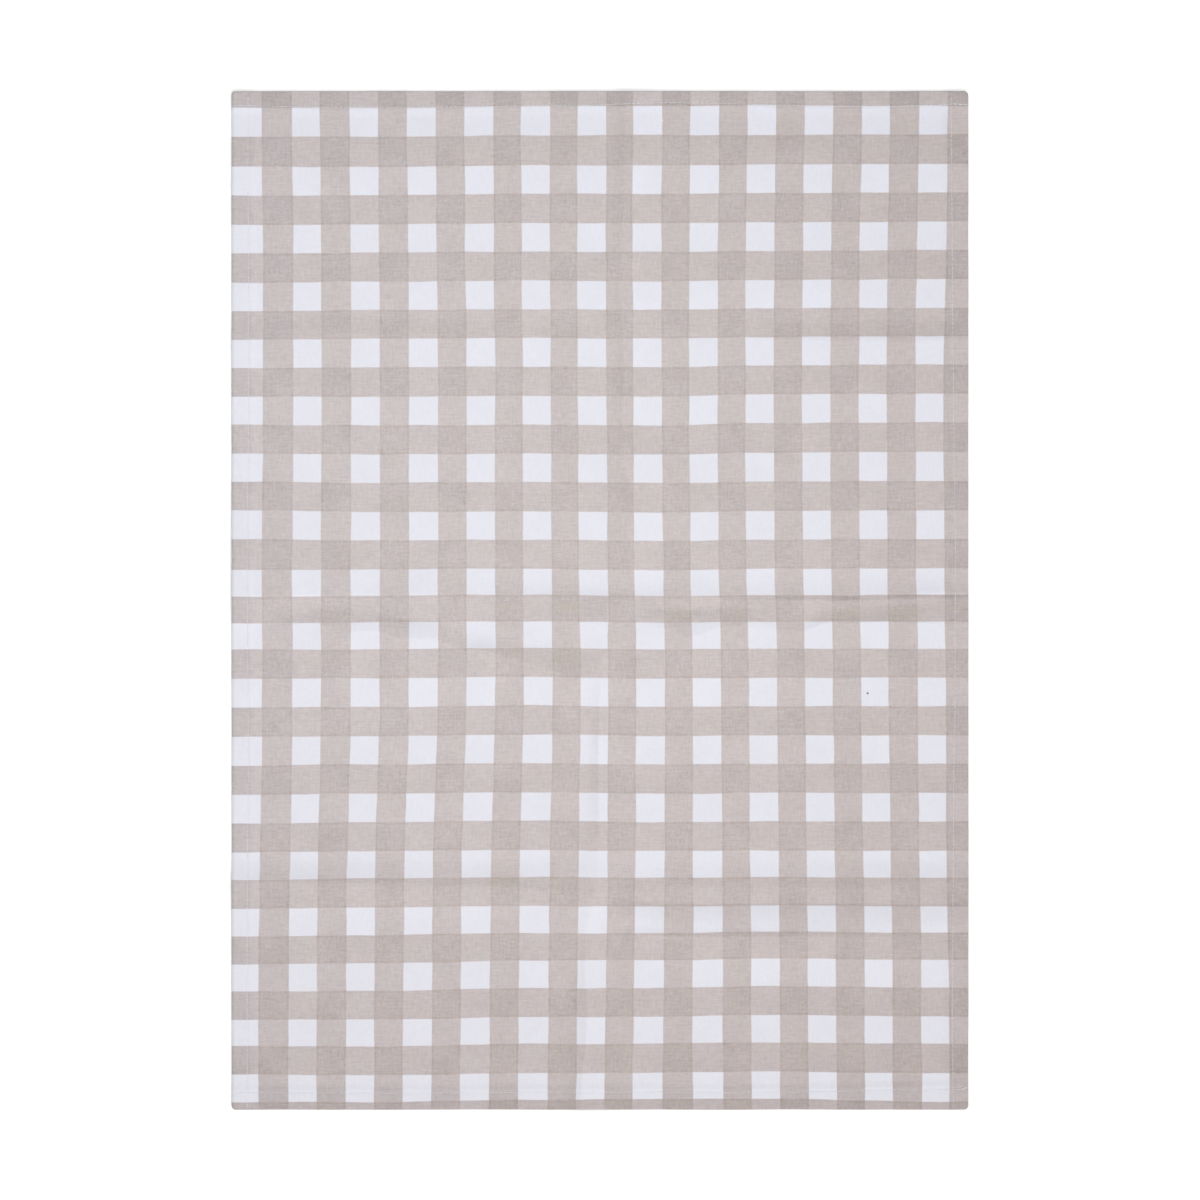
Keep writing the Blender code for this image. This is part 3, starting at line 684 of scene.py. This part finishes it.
# --- Materials ---------------------------------------------------------------
class Shading:
    """Adds nodes to one material and links them as they are made."""

    def __init__(self, name):
        self.material = bpy.data.materials.new(name)
        self.material.use_nodes = True
        self.tree = self.material.node_tree
        self.shader = self.tree.nodes["Principled BSDF"]

    def set(self, socket, value):
        if isinstance(value, bpy.types.NodeSocket):
            self.tree.links.new(value, socket)
        else:
            socket.default_value = value

    def node(self, kind, inputs=(), **settings):
        made = self.tree.nodes.new(kind)
        for name, value in settings.items():
            setattr(made, name, value)
        for key, value in dict(inputs).items():
            self.set(made.inputs[key], value)
        return made

    def math(self, operation, *values, clamp=False):
        made = self.node("ShaderNodeMath", operation=operation, use_clamp=clamp)
        for socket, value in zip(made.inputs, values):
            self.set(socket, value)
        return made.outputs[0]

    def add(self, *values):
        total = values[0]
        for value in values[1:]:
            total = self.math("ADD", total, value)
        return total

    def times(self, *values):
        total = values[0]
        for value in values[1:]:
            total = self.math("MULTIPLY", total, value)
        return total

    def minus(self, a, b):
        return self.math("SUBTRACT", a, b)

    def soft_step(self, value, start, end):
        made = self.node("ShaderNodeMapRange", {
            "Value": value, "From Min": start, "From Max": end, "To Min": 0.0, "To Max": 1.0},
            interpolation_type="SMOOTHSTEP")
        return made.outputs["Result"]

    def distance(self, x, y):
        """How far the shaded point is from x, y, in millimetres."""
        place = self.node("ShaderNodeTexCoord").outputs["Object"]
        flat = self.node("ShaderNodeVectorMath", {0: place, 1: (1000.0, 1000.0, 0.0)}, operation="MULTIPLY")
        apart = self.node("ShaderNodeVectorMath", {0: flat.outputs[0], 1: (x, y, 0.0)}, operation="DISTANCE")
        return apart.outputs["Value"]

    def noise(self, x, y, detail=2.0, rough=0.5, z=0.0):
        """Noise about 0, with features 1 unit of x and y apart."""
        place = self.node("ShaderNodeCombineXYZ", {"X": x, "Y": y, "Z": z})
        made = self.node("ShaderNodeTexNoise", {
            "Vector": place.outputs[0], "Scale": 1.0, "Detail": detail, "Roughness": rough},
            noise_dimensions="3D")
        return self.minus(made.outputs["Fac"], 0.5)


def stripes(sh, across, along, check, seed):
    """Printed stripes: how inked a point is, 0 to 1, and how near it is to a stripe's darker border."""
    place = sh.times(sh.minus(across, check["first"]), 1 / check["pitch"])
    border = sh.math("FLOOR", sh.times(place, 2.0))
    from_centre = sh.times(
        sh.math("ABSOLUTE", sh.minus(place, sh.math("FLOOR", sh.add(place, 0.5)))), check["pitch"])
    # Each border wavers by itself, as a brushed stripe's does.
    own = sh.add(sh.times(border, 7.31), seed)
    waver = sh.times(sh.noise(own, sh.times(along, 1 / 44), detail=5.0, rough=0.56, z=seed), 2.1)
    half = sh.add(
        check["width"] / 2,
        sh.times(sh.math("POWER", sh.times(sh.math("ABSOLUTE", across), 1 / 230), 2.0), check["widening"] / 2))
    inside = sh.add(sh.minus(half, from_centre), waver)
    inked = sh.soft_step(inside, -0.30, 0.30)
    near = sh.math("SUBTRACT", 1.0, sh.times(sh.math("ABSOLUTE", sh.minus(inside, 0.75)), 1 / 0.9), clamp=True)
    strength = sh.math(
        "ADD", sh.times(sh.noise(own, sh.times(along, 1 / 9), detail=3.0, z=seed + 3), 2.4), 0.75, clamp=True)
    return inked, sh.times(near, strength)


def printed_cotton():
    sh = Shading("printed_cotton_weave")
    cloth = sh.node("ShaderNodeAttribute", attribute_name="cloth")
    parts = sh.node("ShaderNodeSeparateXYZ", {0: cloth.outputs["Vector"]})
    u, v, back = parts.outputs
    hem = sh.node("ShaderNodeAttribute", attribute_name="hem").outputs["Fac"]
    seam = sh.node("ShaderNodeAttribute", attribute_name="seam").outputs["Fac"]
    # Painted shade along the middle fold: a dark line by its crest and patches beside it.
    fold_line = sh.node("ShaderNodeAttribute", attribute_name="painted_fold_shade").outputs["Fac"]
    # A painted tint of the folds' shade: the crossings beside them are yellower.
    shade_yellow = sh.node("ShaderNodeAttribute", attribute_name="shade_yellowed").outputs["Fac"]
    # Painted shade along the left hem's folded edge.
    left_edge_shade = sh.node("ShaderNodeAttribute", attribute_name="left_edge_shade").outputs["Fac"]

    # Threads of uneven thickness, along and across the towel.
    warp = sh.noise(sh.times(u, 1 / 1.25), sh.times(v, 1 / 8), detail=3.0, rough=0.62)
    weft = sh.noise(sh.times(u, 1 / 7), sh.times(v, 1 / 1.25), detail=3.0, rough=0.62, z=5.0)
    threads = sh.add(warp, weft)
    slubs = sh.noise(sh.times(u, 1 / 34), sh.times(v, 1 / 1.6), detail=1.0, z=9.0)
    mottle = sh.noise(sh.times(u, 1 / 2.6), sh.times(v, 1 / 2.6), detail=3.0, rough=0.6, z=2.0)
    speckle = sh.noise(sh.times(u, 1 / 1.5), sh.times(v, 1 / 1.5), detail=2.0, rough=0.6, z=17.0)
    pools = sh.noise(sh.times(u, 1 / 24), sh.times(v, 1 / 24), detail=2.0, z=7.0)

    # The ink lies a little heavier towards the right hem and the two ends.
    to_right, to_top = sh.times(u, 1 / 250), sh.times(v, 1 / 345)
    heavier = sh.add(
        sh.times(to_right, sh.add(sh.times(to_right, 0.05), 0.07)),
        sh.times(to_top, sh.add(sh.times(to_top, 0.09), -0.025)))

    down, down_border = stripes(sh, u, v, CHECK_ACROSS, 11.0)
    over, over_border = stripes(sh, v, u, CHECK_ALONG, 47.0)
    both = sh.times(down, over)
    ink = sh.minus(sh.add(down, over), both)
    border = sh.add(
        sh.times(down_border, sh.add(sh.times(over, 0.22), 0.06)),
        sh.times(over_border, sh.add(sh.times(down, 0.22), 0.06)))
    paler = sh.minus(1.0, sh.times(back, 0.62))
    first = sh.times(sh.add(ink, sh.times(ink, heavier), border), paler)
    second = sh.times(both, paler, sh.add(
        1.0, heavier, sh.times(to_right, -0.10), sh.times(to_top, sh.add(sh.times(to_top, 0.18), 0.03))))

    # It takes unevenly on the threads.
    grain = sh.add(sh.times(threads, 0.37), sh.times(slubs, 0.08), sh.times(mottle, 0.21))
    taken = sh.times(paler, sh.add(
        sh.times(ink, sh.add(grain, sh.times(pools, 0.21))),
        sh.times(both, sh.add(sh.times(speckle, 0.28), sh.times(threads, 0.06), sh.times(pools, 0.08)))))

    # Cotton and ink darken a little towards the edges, as painted shade where the light falls off,
    # and the ink a little more on the hems. Painted shade also darkens the ink along the middle fold,
    # the left hem's folded edge and a band along the top hem's inner fold.
    cube = sh.math("POWER", to_right, 3.0)
    shade_and_darker_ink = sh.add(
        # Painted shade towards the edges, where the light falls off.
        sh.times(to_right, sh.add(sh.times(to_right, 0.011), sh.times(to_top, 0.007), 0.003)),
        sh.times(to_top, sh.add(sh.times(to_top, 0.0085), 0.002)),
        sh.times(ink, sh.add(sh.times(to_right, to_right, 0.008), sh.times(to_top, to_top, 0.008))),
        sh.times(hem, ink, sh.minus(0.02, sh.times(cube, 0.033))),
        sh.times(hem, both, sh.add(0.03, sh.times(cube, 0.03))),
        sh.times(hem, ink, sh.soft_step(sh.times(to_top, -1.0), 0.90, 0.94), 0.038),
        # Painted shade along the middle fold.
        sh.times(ink, fold_line, sh.add(0.28, sh.times(both, 0.16))),
        sh.times(left_edge_shade, sh.add(0.12, sh.times(ink, 0.02))),
        # Painted shade in a band along the top hem's inner fold.
        sh.times(hem, sh.minus(1.0, hem), sh.soft_step(to_top, 0.85, 0.93), 0.12))
    clean = sh.add(
        1.004, sh.times(warp, 0.11), sh.times(weft, 0.08), sh.times(mottle, 0.05),
        sh.times(pools, 0.07), sh.times(shade_and_darker_ink, -1.0), sh.times(taken, -1.0))

    # The ink dulls the cotton channel by channel, and its hue drifts a little: now and then,
    # and, where stripes cross, towards the bottom hem. Beside the folds the crossings are also
    # painted yellower, a tint that stands in for the folds' shade.
    hue = sh.times(sh.noise(sh.times(u, 1 / 24), sh.times(v, 1 / 24), detail=3.0, rough=0.6, z=13.0), ink)
    olive = sh.times(both, sh.add(
        sh.times(sh.soft_step(sh.times(to_top, -1.0), 0.25, 0.95), 0.6), sh.times(shade_yellow, 1.3)))
    faint = sh.noise(sh.times(u, 1 / 2.8), sh.times(v, 1 / 2.8), detail=3.0, rough=0.65, z=27.0)
    plain = sh.add(sh.minus(1.0, ink), both)
    right_2, top_2 = sh.times(to_right, to_right), sh.times(to_top, to_top)
    bluer = sh.add(
        sh.times(ink, sh.add(sh.times(sh.add(right_2, top_2), 0.0075), sh.times(hem, 0.008))),
        sh.times(both, sh.add(sh.times(right_2, 0.006), -0.003, sh.times(hem, -0.008))))
    channels = []
    for white, one, two, drift, tint, cooler, fresher, greener, blue in zip(
            COTTON, INK, SECOND_INK, (0.0, -0.01, -0.06), (0.022, 0.0, -0.026),
            (-0.003, 0.0, 0.007), (0.0, 0.004, 0.0), (0.0, 0.0, -0.025), (0.0, 0.0, 1.0)):
        tone = sh.times(sh.math("POWER", one, first), sh.math("POWER", two, second))
        shade = sh.add(
            white, sh.times(hue, drift), sh.times(faint, tint), sh.times(to_top, plain, cooler),
            sh.times(to_top, ink, fresher), sh.times(olive, greener), sh.times(bluer, blue))
        for x, y, size, lint in LINT:
            covered = sh.times(sh.soft_step(sh.distance(x, y), size, 0.4 * size), sh.minus(1.0, back))
            clean_here = sh.minus(1.0, covered)
            shade = sh.add(sh.times(shade, clean_here), sh.times(covered, lint[len(channels)]))
            tone = sh.add(sh.times(tone, clean_here), covered)
        channels.append(sh.times(tone, clean, shade))
    colour = sh.node("ShaderNodeCombineColor", dict(zip(("Red", "Green", "Blue"), channels)))
    sh.set(sh.shader.inputs["Base Color"], colour.outputs[0])

    height = sh.add(
        sh.times(threads, 0.30), sh.times(slubs, 0.10),
        sh.times(sh.noise(sh.times(u, 1 / 4.5), sh.times(v, 1 / 4.5), detail=1.0, z=21.0),
                 sh.add(0.10, sh.times(hem, 0.25), sh.times(seam, 0.5))))
    bump = sh.node("ShaderNodeBump", {"Height": height, "Strength": 0.5, "Distance": 0.0002})
    sh.set(sh.shader.inputs["Normal"], bump.outputs["Normal"])
    sh.set(sh.shader.inputs["Roughness"], sh.add(0.88, sh.times(threads, 0.15)))
    sh.shader.inputs["Metallic"].default_value = 0.0
    sh.shader.inputs["Specular IOR Level"].default_value = 0.2
    sh.shader.inputs["Sheen Weight"].default_value = 0.06
    sh.shader.inputs["Sheen Roughness"].default_value = 0.5
    return sh.material


def sewing_thread():
    sh = Shading("sewing_thread")
    place = sh.node("ShaderNodeTexCoord").outputs["Object"]
    parts = sh.node("ShaderNodeSeparateXYZ", {0: place})
    x, y, z = parts.outputs
    # Two plies twisted together, so the light and dark run slantwise round the thread.
    slant = sh.times(sh.add(x, y, sh.times(z, 1.5)), 2 * math.pi / 0.0007)
    twist = sh.math("SINE", slant)
    fuzz = sh.noise(sh.times(x, 2500.0), sh.times(y, 2500.0), detail=2.0)
    # The twist also makes the thread's colour a little lighter and darker: painted shade of its plies.
    tone = sh.add(0.70, sh.times(twist, 0.025), sh.times(fuzz, 0.10))
    colour = sh.node("ShaderNodeCombineColor", {
        "Red": sh.times(tone, 0.96), "Green": tone, "Blue": sh.times(tone, 1.09)})
    sh.set(sh.shader.inputs["Base Color"], colour.outputs[0])
    bump = sh.node("ShaderNodeBump", {"Height": twist, "Strength": 0.4, "Distance": 0.00008})
    sh.set(sh.shader.inputs["Normal"], bump.outputs["Normal"])
    sh.set(sh.shader.inputs["Roughness"], sh.add(0.70, sh.times(fuzz, 0.2)))
    sh.shader.inputs["Specular IOR Level"].default_value = 0.3
    sh.shader.inputs["Sheen Weight"].default_value = 0.1
    return sh.material


# --- Floor, light and camera -------------------------------------------------
def make_floor():
    bpy.ops.mesh.primitive_circle_add(vertices=96, radius=8.0, fill_type="NGON", location=(0, 0, -0.0001))
    floor = bpy.context.active_object
    floor.name = "floor"
    material = bpy.data.materials.new("pale_floor")
    material.use_nodes = True
    shader = material.node_tree.nodes["Principled BSDF"]
    shader.inputs["Base Color"].default_value = (0.98, 0.98, 0.98, 1.0)
    shader.inputs["Roughness"].default_value = 1.0
    shader.inputs["Specular IOR Level"].default_value = 0.0
    floor.data.materials.append(material)
    return floor


AMBIENT = 0.285
SOFT_TOP = 0.245  # even light from straight above
SOFT_FRONT = 0.30  # more from beyond the towel's bottom hem, which shapes the creases
NEAR_TOP = 0.35  # a nearer lamp, so that the towel is a little brighter by its middle


def add_sun(name, share, elevation, azimuth, angle):
    data = bpy.data.lights.new(name, "SUN")
    data.angle = math.radians(angle)
    data.energy = math.pi * share / math.sin(math.radians(elevation))
    lamp = bpy.data.objects.new(name, data)
    bpy.context.scene.collection.objects.link(lamp)
    lamp.rotation_euler = (math.radians(90 - elevation), 0, math.radians(azimuth))
    return lamp


def make_studio():
    scene = bpy.context.scene
    world = bpy.data.worlds.new("studio")
    scene.world = world
    world.use_nodes = True
    nodes, links = world.node_tree.nodes, world.node_tree.links
    nodes.clear()
    seen, unseen = nodes.new("ShaderNodeBackground"), nodes.new("ShaderNodeBackground")
    seen.inputs["Color"].default_value = unseen.inputs["Color"].default_value = (1, 1, 1, 1)
    seen.inputs["Strength"].default_value = 1.0
    unseen.inputs["Strength"].default_value = AMBIENT
    path, mix, out = nodes.new("ShaderNodeLightPath"), nodes.new("ShaderNodeMixShader"), nodes.new("ShaderNodeOutputWorld")
    links.new(path.outputs["Is Camera Ray"], mix.inputs[0])
    links.new(unseen.outputs[0], mix.inputs[1])
    links.new(seen.outputs[0], mix.inputs[2])
    links.new(mix.outputs[0], out.inputs["Surface"])

    add_sun("soft_top", SOFT_TOP, 90, 0, 70)
    add_sun("soft_front", SOFT_FRONT, 35, 25, 30)

    height = 1.2
    data = bpy.data.lights.new("near_top", "AREA")
    data.shape, data.size = "DISK", 0.35
    data.energy = NEAR_TOP * math.pi**2 * height**2
    lamp = bpy.data.objects.new("near_top", data)
    scene.collection.objects.link(lamp)
    lamp.location = (-0.047, 0.056, height)
    lamp.visible_camera = False

    scene.view_settings.view_transform = "Standard"
    scene.view_settings.look = "None"
    scene.view_settings.exposure = 0.0
    scene.view_settings.gamma = 1.0

    camera = bpy.data.cameras.new("camera")
    camera.sensor_width = 36.0
    camera.lens = 36.0 * 2.0 / 0.8136
    camera.clip_start, camera.clip_end = 0.05, 60.0
    holder = bpy.data.objects.new("camera", camera)
    scene.collection.objects.link(holder)
    holder.location = (0.00004, 0.00029, 2.0008)
    scene.camera = holder


# --- Everything together -----------------------------------------------------
make_studio()
floor = make_floor()

towel = make_cloth()
towel.data.materials.append(printed_cotton())
stitching = make_stitching()
stitching.data.materials.append(sewing_thread())

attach(towel, "root")
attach(stitching, "root")
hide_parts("towel")
